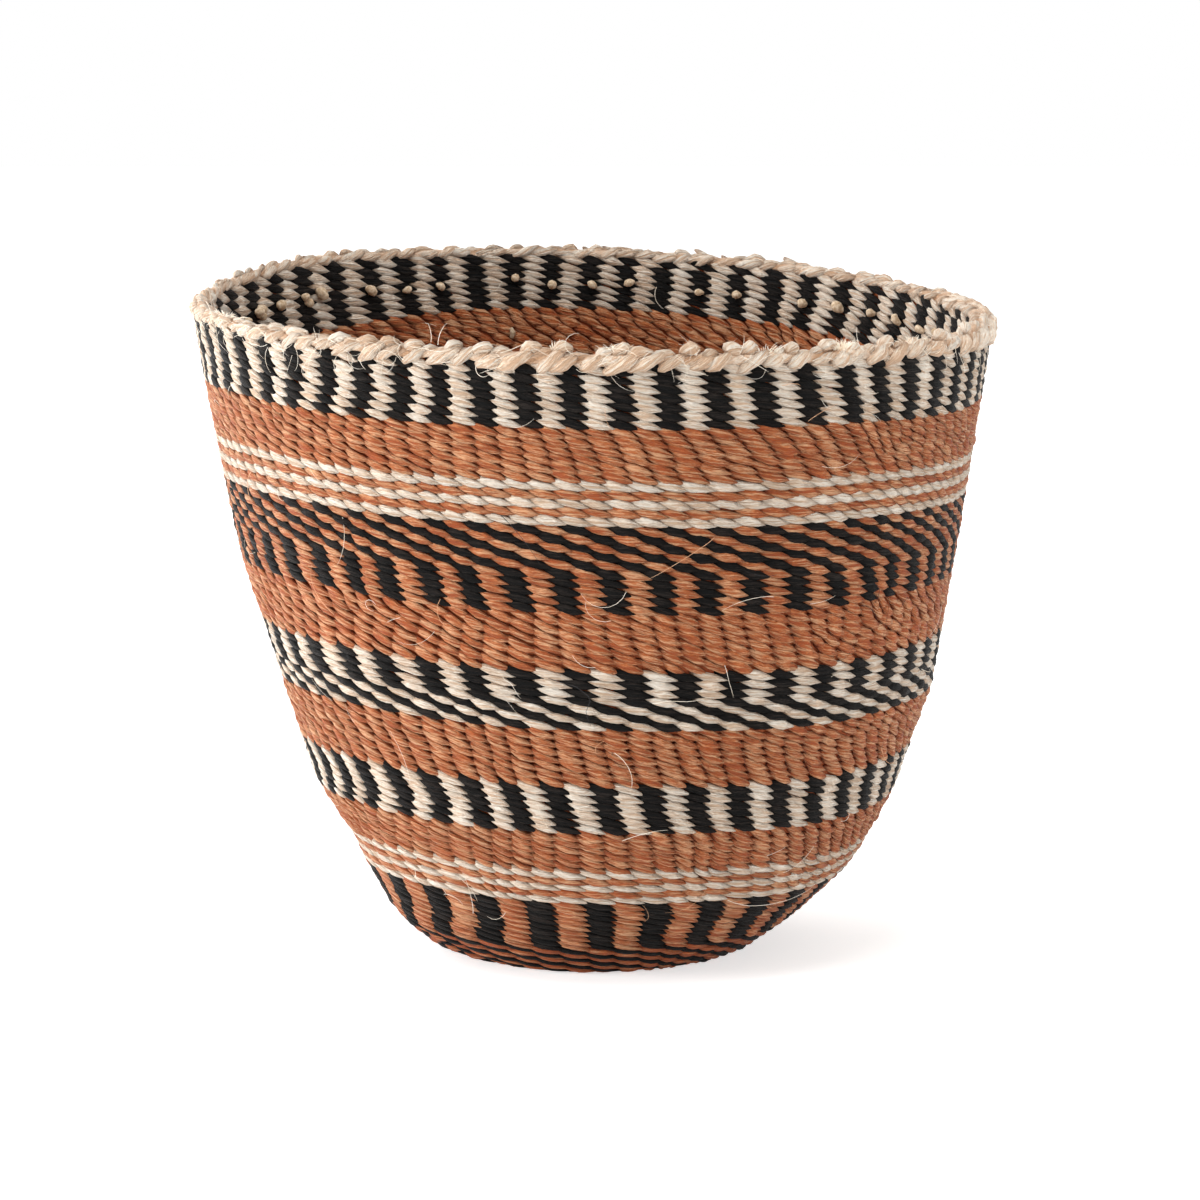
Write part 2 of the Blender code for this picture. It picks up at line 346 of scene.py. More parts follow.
def place(angle, row, outward):
    """Points on the basket from angles, rows and metres out of the middle of the wall."""
    fade = np.clip((TOP_ROW + SPARE_ROWS - row) / WAVER_DIES, RIM_WAVER, 1) * np.clip(row / WAVER_GROWS, 0, 1)
    at = row + level_waver(angle, row) * fade
    turned = angle + column_waver(angle, row) * fade
    depth = WALL / 2 - outward - bulge_waver(angle, row) * fade
    columns = (radii, heights, drifts, normal_out, normal_up)
    radius, height, drift, out, up = (np.interp(at, line_rows, column) for column in columns)
    radius, height = radius + out * depth, height + up * depth
    height = height + np.interp(at, LIFT_ROWS, SIDE_LIFT) * np.cos(turned) ** 2
    height = height + np.interp(at, LIFT_ROWS, BACK_LIFT) * np.clip(np.sin(turned), 0, 1) ** 2
    peak = np.exp(-(((degrees_right(turned) - PEAK_AT) / PEAK_WIDE) ** 2))
    height = height + BACK_PEAK * peak * np.clip((at - TOP_ROW + PEAK_ROWS) / PEAK_ROWS, 0, 1)
    leftward = LEFT_FULLER * np.clip(at / LEFT_FULL_ROW, 0, 1) + np.interp(at, FOOT_ROWS, FOOT_LEFT)
    across = radius * np.cos(turned) - leftward * np.clip(-np.cos(turned), 0, 1) ** 2
    across = across + np.interp(at, FOOT_ROWS, FOOT_RIGHT) * np.clip(np.cos(turned), 0, 1) ** 2
    dip = math.tan(DIP) * np.clip((at - DIP_FROM) / (DIP_FULL - DIP_FROM), 0, 1)
    return np.stack([across + drift, radius * np.sin(turned), np.maximum(height - dip * across, 0.0)], axis=-1)


front = place(*np.array([[-math.pi / 2], [50.0], [0.0]]))[0]
print("one point of the front wall:", front.round(4))

# %% [markdown]
# ## Where the warps stand
#
# The basket widens, so warps are added as it grows: 24 from the hub, 48 round the foot, 84 at the belly
# and 110 at the mouth, as counted from the stripes. A new warp is slipped in beside an old one, and the
# rows after it ease the spacing out again. No two warps are equally thick. The columns also lean: each
# row's tension pulls them a little to the left on the way up. At last every band is turned so that its
# stripes stand where the photograph shows them.

# %% Warps row by row
WIDTHS = (0.84, 1.16)
EASE = 0.28
WANDER = 0.035


def lay_out_warps(counts, leans):
    """Each row's warps in order round the basket: their numbers and their angles."""
    names = list(range(counts[0]))
    widths = [rng.uniform(*WIDTHS) for _ in names]
    angles = np.arange(counts[0]) * math.tau / counts[0] - math.pi / 2
    rows, made = [], counts[0]
    for row, count in enumerate(counts):
        grow = count - len(names)
        steps = np.diff(np.append(angles, angles[0] + math.tau))
        if grow:
            chosen = ((np.arange(grow) + rng.uniform(0.1, 0.9, grow)) * len(names) / grow).astype(int)
            for at in sorted(set(chosen.tolist()), reverse=True):
                names.insert(at + 1, made)
                widths.insert(at + 1, rng.uniform(*WIDTHS))
                half = steps[at] / 2
                steps[at] = half
                steps = np.insert(steps, at + 1, half)
                made += 1
        before = angles[0]
        wanted = np.array(widths)
        wanted = (wanted + np.roll(wanted, -1)) / 2
        wanted = wanted * math.tau / wanted.sum()
        steps = steps + (wanted - steps) * EASE + rng.normal(size=len(names)) * WANDER * wanted
        steps = steps * math.tau / steps.sum()
        angles = before + np.concatenate([[0.0], np.cumsum(steps)[:-1]])
        angles = angles - leans[row] * math.tau / len(names)
        rows.append((list(names), angles.copy()))
    return rows


# always even, since a strand's repeat is two warps long
COUNTS = [
    2 * round((first + (last - first) * row / (rows - 1)) / 2)
    for _, rows, first, last, *_ in BANDS
    for row in range(rows)
]
warps_by_row = lay_out_warps(COUNTS, each_row(5))
print(len(COUNTS), "rows,", sum(COUNTS), "stitches outside,", COUNTS[-1], "warps at the mouth")

# %% Turn the striped bands to where the photograph shows them
# places round the front, in degrees to the right of its middle
PLACES = (-120, -60, -45, -30, -15, 0, 15, 30, 45, 60, 120)
# for each striped band, in degrees to the right: its dark column nearest the front's middle; how far its
# columns stand from an even spacing at those places; and how much further each row down leans there
STRIPES = {
    "weft_stripes_lowest_brown_black": (
        -1.8,
        (0, -1.5, -2.0, 0.0, 0.9, 0.4, -0.2, -0.1, 0.0, 0.0, 0),
        (0, -0.7, -0.68, -0.4, 0.0, 0.05, 0.19, 0.35, 0.4, 0.4, 0),
    ),
    "weft_stripes_lower_cream_black": (
        0.3,
        (0, 1.8, 1.5, 1.1, 0.6, -0.5, -1.0, -1.7, -2.3, -2.0, 0),
        (0, -0.3, -0.3, -0.17, 0.0, 0.0, 0.0, -0.12, -0.2, -0.2, 0),
    ),
    "weft_stripes_middle_cream_black": (
        -4.0,
        (0, 0.5, 0.6, 0.3, -0.1, -0.6, -0.2, -0.9, -1.2, -0.8, 0),
        (0, 0.0, 0.0, 0.0, 0.0, -0.28, -0.27, -0.2, -0.3, -0.3, 0),
    ),
    "weft_stripes_upper_brown_black": (
        2.6,
        (0, 1.6, 2.0, 1.4, 1.0, 0.1, 0.0, 0.0, 0.7, 1.7, 0),
        (0, -0.28, -0.2, 0.16, 0.22, -0.28, -0.55, -0.81, -0.8, -0.6, 0),
    ),
    "weft_stripes_top_cream_black": (
        -2.3,
        (0, 3.4, 2.7, 0.6, 0.2, -0.9, -1.1, -0.6, 0.0, 0.5, 0),
        (0, -0.2, -0.2, -0.2, 0.1, -0.14, -0.05, 0.2, 0.2, -0.1, 0),
    ),
}
# how much further a band is turned where the plain band below it stands straighter than the rest
TURN_ON = {"weft_stripes_upper_brown_black": 0.02}
band_rows, first_row = {}, 0
for node, rows, *_ in BANDS:
    band_rows[node] = (first_row, first_row + rows)
    first_row += rows

turn_rows, turns, strays, dark_side = [0.0], [0.0], [np.zeros(len(PLACES))], {}
for node, (degrees, strayed, leaned) in STRIPES.items():
    start, end = band_rows[node]
    _, angles = warps_by_row[(start + end) // 2]
    apart = (right_of_front(degrees) - angles + math.pi) % math.tau - math.pi
    chosen = int(np.argmin(np.abs(apart - turns[-1] - TURN_ON.get(node, 0.0))))
    dark_side[node] = chosen % 2
    turn_rows += [start, end]
    turns += [apart[chosen], apart[chosen]]
    half = np.array(leaned) * (end - start) / 2
    strays += [np.radians(strayed + half), np.radians(strayed - half)]
turns[0] = turns[1]
strays = np.array(strays)
for row, (names, angles) in enumerate(warps_by_row):
    angles = angles + np.interp(row + 0.5, turn_rows, turns)
    here = [np.interp(row + 0.5, turn_rows, column) for column in strays.T]
    warps_by_row[row] = (names, angles + np.interp(degrees_right(angles), PLACES, here))
print("turned by degrees:", np.degrees(turns).round(1))

# %% [markdown]
# ## Sisal
#
# Sisal is a stiff leaf fibre. Hand rolled, it makes a yarn that still shows its hairs: fine pale and
# dark streaks that run along the strand, and a dry surface with a faint sheen. Deep in the weave its colour
# turns to a darker painted shade, and the crests keep the yarn's own colour. Each strand carries its own
# coordinates in an attribute: how far along it a point lies, and where round it. The streaks are noise
# on those, pulled out long, so they turn and dive with the yarn. The same coordinates say where the
# yarn's two plies meet, in a groove that winds along the strand, sunk in relief and darkened by painted shade.

# %% One yarn material
STREAK_ALONG = 0.75
STREAK_ROUND = 2.2
HAIR_ALONG = 1.3
HAIR_ROUND = 5.0
PLY_WIDE = 0.30
# how much painted shade darkens the groove where the plies meet, and how deep its relief is
PLY_SHADE = 0.16
PLY_DEEP = 0.25
# what the broad streaks, the fine ones and the tone add to the shade, and what of it runs from dark to light
BROAD, FINER, TONE = 1.05, 0.68, 0.20
SHADE_FROM = 0.795
SHADE_OVER = 0.30
# how much smoother the pale hairs are, and the depth of the relief in metres
HAIR_SMOOTH = 0.35
YARN_RELIEF = 0.0018


def arithmetic(tree, operation, first, second):
    """A Math node whose inputs are sockets or numbers."""
    made = add_node(tree, "Math", operation=operation)
    for socket, value in zip(made.inputs, (first, second)):
        if isinstance(value, (int, float)):
            socket.default_value = value
        else:
            tree.links.new(value, socket)
    return made.outputs[0]


def weighed(tree, *pairs):
    """The sum of sockets, each times its weight."""
    parts = [arithmetic(tree, "MULTIPLY", socket, weight) for socket, weight in pairs]
    total = parts[0]
    for part in parts[1:]:
        total = arithmetic(tree, "ADD", total, part)
    return total


def attribute(tree, name, output="Fac"):
    """What a point attribute holds."""
    return add_node(tree, "Attribute", attribute_name=name).outputs[output]


def streaks(tree, along, around, detail):
    """Noise on the strand's own coordinates, drawn out along it."""
    fibre = attribute(tree, "fibre", "Vector")
    pulled = add_node(tree, "Mapping", fibre, Scale=(along, around, around)).outputs[0]
    return add_node(tree, "TexNoise", pulled, Scale=1.0, Detail=detail, Roughness=0.65).outputs["Fac"]


def ply_groove(tree):
    """One where two plies meet, nought on their crowns."""
    fibre = add_node(tree, "SeparateXYZ", attribute(tree, "fibre", "Vector")).outputs
    near = arithmetic(tree, "DIVIDE", arithmetic(tree, "ABSOLUTE", fibre["Y"], 0.0), PLY_WIDE)
    low = arithmetic(tree, "MINIMUM", near, 1.0)
    return arithmetic(tree, "SUBTRACT", 1.0, arithmetic(tree, "MULTIPLY", low, low))


def ramp(tree, shade, low, dark, high, light, middle=None):
    """The colour of a shade, from dark at low to light at high."""
    made = add_node(tree, "ValToRGB", shade)
    ends = made.color_ramp.elements
    ends[0].position, ends[0].color = low, (*dark, 1)
    ends[1].position, ends[1].color = high, (*light, 1)
    if middle:
        ends.new((low + high) / 2).color = (*middle, 1)
    return made.outputs["Color"]


def relief(tree, shader, height, strength, distance):
    """Fine relief that follows a height."""
    raised = add_node(tree, "Bump", Strength=strength, Distance=distance)
    tree.links.new(height, raised.inputs["Height"])
    tree.links.new(raised.outputs["Normal"], shader["Normal"])


def yarn(name, crevice_shade, dark, middle, light, gloss=0.28, rough=0.72, sheen=0.04):
    """Sisal yarn: the painted shade deep in the weave, then the dark, middle and light of its streaks."""
    made, tree, shader = finish_of(name, rough)
    broad = streaks(tree, STREAK_ALONG, STREAK_ROUND, 3.0)
    fine = streaks(tree, HAIR_ALONG, HAIR_ROUND, 2.0)
    tone, groove = attribute(tree, "tone"), ply_groove(tree)
    shade = weighed(tree, (broad, BROAD), (fine, FINER), (tone, TONE), (groove, -PLY_SHADE))
    shade = arithmetic(tree, "DIVIDE", arithmetic(tree, "SUBTRACT", shade, SHADE_FROM), SHADE_OVER)
    # painted shade: the colour turns to the crevice shade where the yarn lies deep in the weave
    mix = add_node(tree, "Mix", data_type="RGBA", A=(*crevice_shade, 1))
    tree.links.new(attribute(tree, "clear_of_shade"), mix.inputs["Factor"])
    tree.links.new(ramp(tree, shade, 0.0, dark, 1.0, light, middle), mix.inputs["B"])
    tree.links.new(mix.outputs["Result"], shader["Base Color"])
    dull = arithmetic(tree, "ADD", weighed(tree, (fine, -HAIR_SMOOTH)), rough)
    tree.links.new(dull, shader["Roughness"])
    shader["Sheen Weight"].default_value = sheen
    shader["Specular IOR Level"].default_value = gloss
    relief(tree, shader, weighed(tree, (broad, 1.0), (fine, 1.0), (groove, -PLY_DEEP)), 1.0, YARN_RELIEF)
    print("yarn", name)
    return made


# each yarn's name and four colours: the painted shade deep in the weave, then the dark, middle and light
# of its streaks
DYES_AND_SHADE = {
    "cream": ("cream_sisal", (0.60, 0.30, 0.14), (0.70, 0.48, 0.32), (0.88, 0.72, 0.57), (0.98, 0.89, 0.77)),
    "brown": (
        "terracotta_sisal",
        (0.34, 0.03, 0.001), (0.405, 0.078, 0.013), (0.545, 0.159, 0.045), (0.79, 0.42, 0.22),
    ),
    "black": ("black_sisal", (0.001,) * 3, (0.001,) * 3, (0.003, 0.002, 0.0015), (0.024, 0.018, 0.015)),
    "natural": ("undyed_sisal", (0.62, 0.33, 0.17), (0.74, 0.48, 0.31), (0.93, 0.72, 0.54), (1.0, 0.89, 0.76)),
}
# black yarn gets its own gloss, roughness and sheen, or it would look grey
MATT = {"black": (0.12, 0.70, 0.005)}
YARNS = {colour: yarn(*dyes_and_shade, *MATT.get(colour, ())) for colour, dyes_and_shade in DYES_AND_SHADE.items()}

# %% [markdown]
# ## One repeat of a weft strand
#
# Seen from outside, a stitch is a slanting leaf. It comes out from under its left neighbour, swells as it
# lies over its warp, and ends in a long point on top of its right neighbour. Behind the next warp the same
# strand lies on the inside, and looks the same from there. That is one repeat: two warps long. It is drawn
# flat, with x counting warps, y counting rows and z in metres: a round of eight points is extruded from
# section to section along the strand, and squeezed thin where it passes through the wall.

# %% The strand's path and thickness
SIDES = 8
# along from the warp's middle in warps, half its height there in rows, metres outwards, and how much of the
# yarn's own colour it keeps where it tucks under a neighbour, the rest being painted shade
LEAF = (
    (-0.72, 0.18, 0.0008, 0.75),
    (-0.52, 0.40, 0.0016, 0.9),
    (-0.27, 0.55, 0.0021, 1.0),
    (0.00, 0.61, 0.0023, 1.0),
    (0.24, 0.55, 0.0023, 1.0),
    (0.46, 0.39, 0.0023, 1.0),
    (0.66, 0.20, 0.0023, 1.0),
    (0.84, 0.04, 0.0021, 0.9),
)
LEAN = 0.56
# tight stitches are shorter, and their points dive between their neighbours
SHORTER = 0.16
DIVE = 0.0009
DIVE_FROM = 0.35
steeper_rows, tight_rows = each_row(6), each_row(7)
HALF_THICK = 0.00088
THIN_TIP = 0.00050

# one leaf outside over warp 0, one inside behind warp 1, and the start of the next one outside
SECTIONS = [(0, *entry) for entry in LEAF]
SECTIONS += [(1, -along, tall, -out, untucked) for along, tall, out, untucked in reversed(LEAF)] + [(2, *LEAF[0])]
WARP, WITHIN, _, _, UNTUCKED = np.array(SECTIONS).T
FACING = 1 - 2 * (WARP % 2)
LINE_UP = -LEAN * WITHIN * FACING
UPRIGHT = Matrix.Rotation(math.pi / 2, 4, "Y")


def strand_matrix(number):
    """Where the strand's round section lies, and how it is squeezed there."""
    warp, along, half_height, outward, _ = SECTIONS[number]
    middle = Matrix.Translation((warp + along, LINE_UP[number], outward))
    thick = THIN_TIP + (HALF_THICK - THIN_TIP) * half_height * 2
    return middle @ Matrix.Diagonal((1, half_height, thick, 1)) @ UPRIGHT


def sweep(sides, matrices):
    """A round of points extruded from matrix to matrix. They remember their section and place in it."""
    bm = bmesh.new()
    section, across, toward = (bm.verts.layers.float.new(name) for name in ("section", "across", "toward"))
    made = bmesh.ops.create_circle(bm, segments=sides, radius=1.0, matrix=matrices[0])
    ring = set(made["verts"])
    for vert in ring:
        vert[across], vert[toward] = (matrices[0].inverted() @ vert.co).xy
    edges = list({edge for vert in ring for edge in vert.link_edges})
    for number, (before, after) in enumerate(zip(matrices, matrices[1:]), 1):
        swept = bmesh.ops.extrude_edge_only(bm, edges=edges)["geom"]
        ring = {item for item in swept if isinstance(item, bmesh.types.BMVert)}
        bmesh.ops.transform(bm, matrix=after @ before.inverted(), verts=list(ring))
        for vert in ring:
            vert[section] = number
        edges = [item for item in swept if isinstance(item, bmesh.types.BMEdge)]
        edges = [edge for edge in edges if ring.issuperset(edge.verts)]
    return bm


def finished(bm, name, seam=0.0):
    """A mesh from a bmesh: points nearer than seam merged, and faces outwards."""
    if seam:
        bmesh.ops.remove_doubles(bm, verts=bm.verts, dist=seam)
    bmesh.ops.recalc_face_normals(bm, faces=bm.faces)
    mesh = bpy.data.meshes.new(name)
    bm.to_mesh(mesh)
    bm.free()
    return mesh


def unpacked(*meshes):
    """A bmesh of several meshes in their order. The meshes go."""
    bm = bmesh.new()
    for mesh in meshes:
        bm.from_mesh(mesh)
        bpy.data.meshes.remove(mesh)
    return bm


def capped_tube(sides, matrices):
    """A swept tube with both ends closed."""
    bm = sweep(sides, matrices)
    bmesh.ops.holes_fill(bm, edges=[edge for edge in bm.edges if edge.is_boundary], sides=sides)
    return finished(bm, "tube")


strand_unit = finished(sweep(SIDES, [strand_matrix(n) for n in range(len(SECTIONS))]), "strand_unit")
print("one repeat has", len(strand_unit.polygons), "faces")

# %% [markdown]
# ## Laying the rows
#
# The Array modifier repeats the unit round a row and joins each copy to the next. Then numpy nudges
# every stitch a little: no two pulls of the hand are the same. The nudges fade out in the gaps, where
# one stitch runs on into the next. At last the flat strip is placed on the wall, over its own warps, and
# its two ends, which now meet, are merged into a closed ring.

# %% Copy the unit round
SIDE_JITTER = 0.035
LEVEL_JITTER = 0.045
OUT_JITTER = 0.00016
SWELL_JITTER = 0.10
TURN_JITTER = 0.09
LUMP_JITTER = 0.08
# warps over which a stitch's own nudges fade out
HOLD_WIDE = 1.6
TWIST = 0.8
# how far the tone strays from stitch to stitch, slowly along a row, and from row to row
STITCH_TONE, SLOW_TONE, ROW_TONE = 0.08, 0.12, 0.08
SLOW_EVERY = 3
# where along its yarn a strand may start
YARN_LONG = 500
# the lowest rows are darker in tone
LOWEST_DARKER = 0.6
LOWEST_ROWS = 18
# painted shade deep in the weave: a point within CREST_FROM metres of the wall's middle takes the full crevice
# shade colour, and a point CREST_OVER further out takes none
CREST_FROM = 0.0004
CREST_OVER = 0.0020
# points nearer than this are one point where the ends of a ring meet
SEAM = 1e-5


def as_mesh(holder):
    """The mesh that an object's modifier or curve makes. The object goes."""
    mesh = bpy.data.meshes.new_from_object(holder.evaluated_get(bpy.context.evaluated_depsgraph_get()))
    bpy.data.objects.remove(holder)
    return mesh


def copied_round(unit, length, count):
    """The unit repeated count times along x and joined, as a new mesh."""
    holder = set_down("repeat", unit)
    array = holder.modifiers.new("round", "ARRAY")
    array.use_relative_offset = False
    array.use_constant_offset = True
    array.constant_offset_displace = (length, 0.0, 0.0)
    array.count = count
    array.use_merge_vertices = True
    array.merge_threshold = length / 4000
    return as_mesh(holder)


def read(mesh, name):
    """A float attribute, or the points where the name is co, as a numpy array."""
    if name == "co":
        values = np.empty(len(mesh.vertices) * 3, np.float32)
        mesh.vertices.foreach_get("co", values)
        return values.reshape(-1, 3).astype(float)
    values = np.empty(len(mesh.vertices), np.float32)
    mesh.attributes[name].data.foreach_get("value", values)
    return values.astype(float)


rounds = {}


def strand_row(row, start):
    """A row of one strand: its mesh, its points as angle, row and outward, and the yarn's attributes."""
    names, angles = warps_by_row[row]
    count = len(names)
    if count not in rounds:
        rounds[count] = copied_round(strand_unit, 2, count // 2)
    mesh = rounds[count].copy()
    flat = read(mesh, "co")
    across, toward = read(mesh, "across"), read(mesh, "toward")
    section = np.rint(read(mesh, "section")).astype(int)
    within, line = WITHIN[section], LINE_UP[section]
    stitch = (np.rint(flat[:, 0] - within).astype(int) + start) % count
    hold = np.clip(np.cos(math.pi * within / HOLD_WIDE), 0, 1) ** 2
    nudge = rng.normal(size=(6, count))
    side, raised, outward, swell, turn, shade = (column[stitch] * hold for column in nudge)
    along = flat[:, 0].copy()
    lumps = rng.normal(size=(count, len(SECTIONS)))[stitch, section] * hold
    fuller = 1 + SWELL_JITTER * swell + LUMP_JITTER * lumps
    flat[:, 1] = line * steeper_rows[row] + (flat[:, 1] - line) * fuller
    flat[:, 1] += LEVEL_JITTER * raised + TURN_JITTER * turn * within
    flat[:, 2] += OUT_JITTER * outward
    flat[:, 0] += SIDE_JITTER * side + start
    flat[:, 0] -= SHORTER * tight_rows[row] * within
    diving = np.clip(within * FACING[section] / DIVE_FROM - 1, 0, 1)
    flat[:, 2] -= np.sign(flat[:, 2]) * DIVE * tight_rows[row] * diving
    known = np.arange(-1, count + 2)
    round_once = np.concatenate([[angles[-1] - math.tau], angles, angles[:2] + math.tau])
    turned = np.floor(flat[:, 0] / count)
    angle = np.interp(flat[:, 0] - turned * count, known, round_once) + turned * math.tau
    spin = np.arctan2(toward, across) + TWIST * along
    along_yarn = along + rng.uniform(0, YARN_LONG)
    every = np.arange(0, count + 2 * SLOW_EVERY, SLOW_EVERY)
    slow = np.interp(along, every, rng.normal(size=len(every)))
    tone = 0.5 + STITCH_TONE * shade + SLOW_TONE * slow + rng.normal() * ROW_TONE - LOWEST_DARKER * (row < LOWEST_ROWS)
    # painted shade where the stitch lies deep or tucks under its neighbour
    clear_of_shade = UNTUCKED[section] * np.clip((np.abs(flat[:, 2]) - CREST_FROM) / CREST_OVER, 0, 1)
    return mesh, np.stack([angle, row + 0.5 + flat[:, 1], flat[:, 2]], axis=-1), along_yarn, spin, tone, clear_of_shade


# %% Join rows into one piece
def yarn_points(mesh, along, spin, tone, clear_of_shade):
    """The point attributes that a yarn material reads."""
    fibre = np.stack([along, np.cos(spin), np.sin(spin)], axis=-1)
    for name, values in (("fibre", fibre), ("tone", tone), ("clear_of_shade", clear_of_shade)):
        kind, field = ("FLOAT", "value") if values.ndim == 1 else ("FLOAT_VECTOR", "vector")
        layer = mesh.attributes.new(name, kind, "POINT")
        layer.data.foreach_set(field, values.astype(np.float32).ravel())


def dress(name, mesh, node, look):
    """A piece that rides on the basket and stands for its CAD node, which is hidden."""
    piece = set_down(name, mesh)
    mesh.materials.append(look)
    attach(piece, "root")
    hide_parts(node)
    print(name, len(mesh.polygons), "faces")


def laid(mesh, name, spots, node, look):
    """The mesh at its spots as a smooth piece that stands for a node, with its seams closed."""
    mesh.vertices.foreach_set("co", spots.astype(np.float32).ravel())
    mesh.shade_smooth()
    dress(name, finished(unpacked(mesh), name, SEAM), node, look)


def lay_rows(name, wanted, node, look):
    """One piece from (row, start) pairs: their strands joined and wrapped onto the wall."""
    meshes, *parts = zip(*(strand_row(row, start) for row, start in wanted))
    made = finished(unpacked(*meshes), name)
    points, *fibres = (np.concatenate(values) for values in parts)
    yarn_points(made, *fibres)
    laid(made, name, place(*points.T), node, look)


# %% Which strand of each row is the dark one
dark_start = {row: dark_side[node] for node in STRIPES for row in range(*band_rows[node])}
# in the diagonal bands the dark strand changes sides from row to row, away from the stripes beside them
for node, beside, step in (
    ("curve_courses_brown_black", "weft_stripes_lowest_brown_black", -1),
    ("weft_diagonals_lower_cream_black", "weft_stripes_middle_cream_black", -1),
    ("weft_diagonals_upper_brown_black", "weft_stripes_upper_brown_black", 1),
):
    for away, row in enumerate(range(*band_rows[node])[::step], 1):
        dark_start[row] = (dark_side[beside] + away) % 2
print("rows with two colours side by side:", len(dark_start))

# %% Lay every band
for node, _, _, _, pattern, *_ in BANDS:
    start, end = band_rows[node]
    colours = [colour for colour in DYES_AND_SHADE if colour in node.split("_")] or ["brown"]
    strands = {colour: [] for colour in colours}
    for row in range(start, end):
        for strand in (0, 1):
            second = (row - start) % 2 if pattern == "lines" else strand == dark_start.get(row)
            strands[colours[second]].append((row, strand))
    short = "_".join(word for word in node.split("_") if word not in DYES_AND_SHADE)
    for colour, wanted in strands.items():
        lay_rows(f"{short}_{colour}_strands", wanted, node, YARNS[colour])

# %% [markdown]
# ## Warps and the hub
#
# The warps only show as shadows between the stitches and where the light falls through a gap, yet they
# carry the whole wall. Each is a thin tube that runs from the row where it was slipped in up to the
# rim. The first ones cross in the hub, over and under each other, and the first row ties them there.

# %% Warps, each swept up its own track
WARP_SIDES = 6
WARP_THICK = 0.0013
WARP_OVERLAP = 1.7
WARP_EVERY = 2

tracks = {}
for row, (names, angles) in enumerate(warps_by_row):
    for name, angle in zip(names, angles):
        tracks.setdefault(name, []).append((row + 0.5, angle, math.tau / len(names)))
along_rows = Matrix.Rotation(math.pi / 2, 4, "X")
swept_warps = []
for name, track in tracks.items():
    track = track[::WARP_EVERY] + [(TOP_ROW + 0.2, *track[-1][1:])]
    if name < COUNTS[0]:
        track = [(-1.2, *track[0][1:])] + track
    matrices = []
    for row, angle, pitch in track:
        flattened = Matrix.Diagonal((pitch / 2 * WARP_OVERLAP, 1, WARP_THICK, 1)) @ along_rows
        matrices.append(Matrix.Translation((angle, row, 0.0)) @ flattened)
    swept_warps.append(capped_tube(WARP_SIDES, matrices))
warp_mesh = finished(unpacked(*swept_warps), "warp_cords")
print(len(tracks), "warps")


def plain_sisal(name, dark, light, scale, glow=0.0):
    """Softly mottled sisal for thin pieces. glow is painted light: emission that brightens thin hairs, standing
    in for the light they let through.
    """
    made, tree, shader = finish_of(name, 0.85)
    here = add_node(tree, "TexCoord").outputs["Object"]
    mottled = add_node(tree, "TexNoise", here, Scale=scale, Detail=3.0).outputs["Fac"]
    colour = ramp(tree, mottled, 0.35, dark, 0.65, light)
    tree.links.new(colour, shader["Base Color"])
    tree.links.new(colour, shader["Emission Color"])
    shader["Emission Strength"].default_value = glow
    relief(tree, shader, mottled, 0.4, 0.0004)
    print("yarn", name)
    return made


# painted shade: the warps are coloured the dark red-brown that the gaps between stitches show in shadow
SHADED_WARP = plain_sisal("shaded_warp_sisal", (0.36, 0.070, 0.018), (0.52, 0.13, 0.04), 600.0)
laid(warp_mesh, "warp_cords", place(*read(warp_mesh, "co").T), "warps", SHADED_WARP)

# %% The hub, the first warps crossed over and under each other
HUB_CORDS = 6
HUB_REACH = 0.0135
HUB_WAVE = 0.0011
HUB_SIDES = 10
HUB_STEPS = 25

pitch = 2 * HUB_REACH / HUB_CORDS
flattened = Matrix.Diagonal((1, pitch * 0.49, HUB_WAVE * 1.15, 1)) @ UPRIGHT
cords, alongs = [], []
for turned in (0, 1):
    for number in range(HUB_CORDS):
        aside = (number - (HUB_CORDS - 1) / 2) * pitch
        reach = math.sqrt(HUB_REACH**2 - aside**2)
        matrices = []
        for along in np.linspace(-reach, reach, HUB_STEPS):
            over = HUB_WAVE * math.cos(math.pi * (along / pitch - 0.5 + number + turned))
            spot = Matrix.Rotation(turned * math.pi / 2, 4, "Z") @ Matrix.Translation((along, aside, over))
            matrices.append(spot @ flattened)
        cords.append(capped_tube(HUB_SIDES, matrices))
        alongs.append(read(cords[-1], "section") * 0.35 + 31 * number + 7 * turned)
hub = finished(unpacked(*cords), "hub_cords")
spin = np.arctan2(read(hub, "toward"), read(hub, "across")) + read(hub, "section") * 0.1
alike = np.ones(len(spin))
# painted shade: the hub takes a quarter of the yarn's crevice shade colour all over
yarn_points(hub, np.concatenate(alongs), spin, 0.3 * alike, 0.75 * alike)
laid(hub, "hub_cords", read(hub, "co") + (LINE[0][3], 0.0, WALL / 2), "warps", YARNS["natural"])

# %% [markdown]
# ## The plaited rim
#
# Where the last row ends, the warps are bent to the right in bundles, laid over their neighbours, and
# locked by the next ones. From outside that reads as a chain of flat grains that rise gently to the
# right, from inside as a finer chain, and on top as knobs of all sizes where a bundle turns. Under them
# runs the cord that they are laid round. One grain is drawn straight and copied round, as the stitches
# were: 100 times outside, 110 times inside and 112 times on top. Then every copy is swollen, shifted
# and raised by its own amount.

# %% Where things stand on the rim
MOUTH_ROUND = math.tau * float(radii[MOUTH])
RIM_ROW = 0.30
row_tall = float(row_height[MOUTH])
# how full the rim is, by degrees to the right of the front's middle
FULL_AT = (-180, -120, -75, -45, -15, 20, 60, 80, 95, 120, 180)
FULLNESS = (0.86, 0.82, 0.74, 0.80, 1.0, 1.0, 0.95, 1.15, 1.1, 0.84, 0.86)


def on_rim(angle, up, outward):
    """Points on the rim from angles, metres above its middle and metres out of it."""
    full = np.interp(degrees_right(angle), FULL_AT, FULLNESS)
    return place(angle, TOP_ROW + RIM_ROW + up * full / row_tall, outward * full)


# %% The cord under the grains
CORD_SIDES = 14
CORD_STEPS = 400
CORD_TALL = 0.0021
CORD_DEEP = 0.0030
CORD_LUMPS = 26
CORD_UNEVEN = 0.040

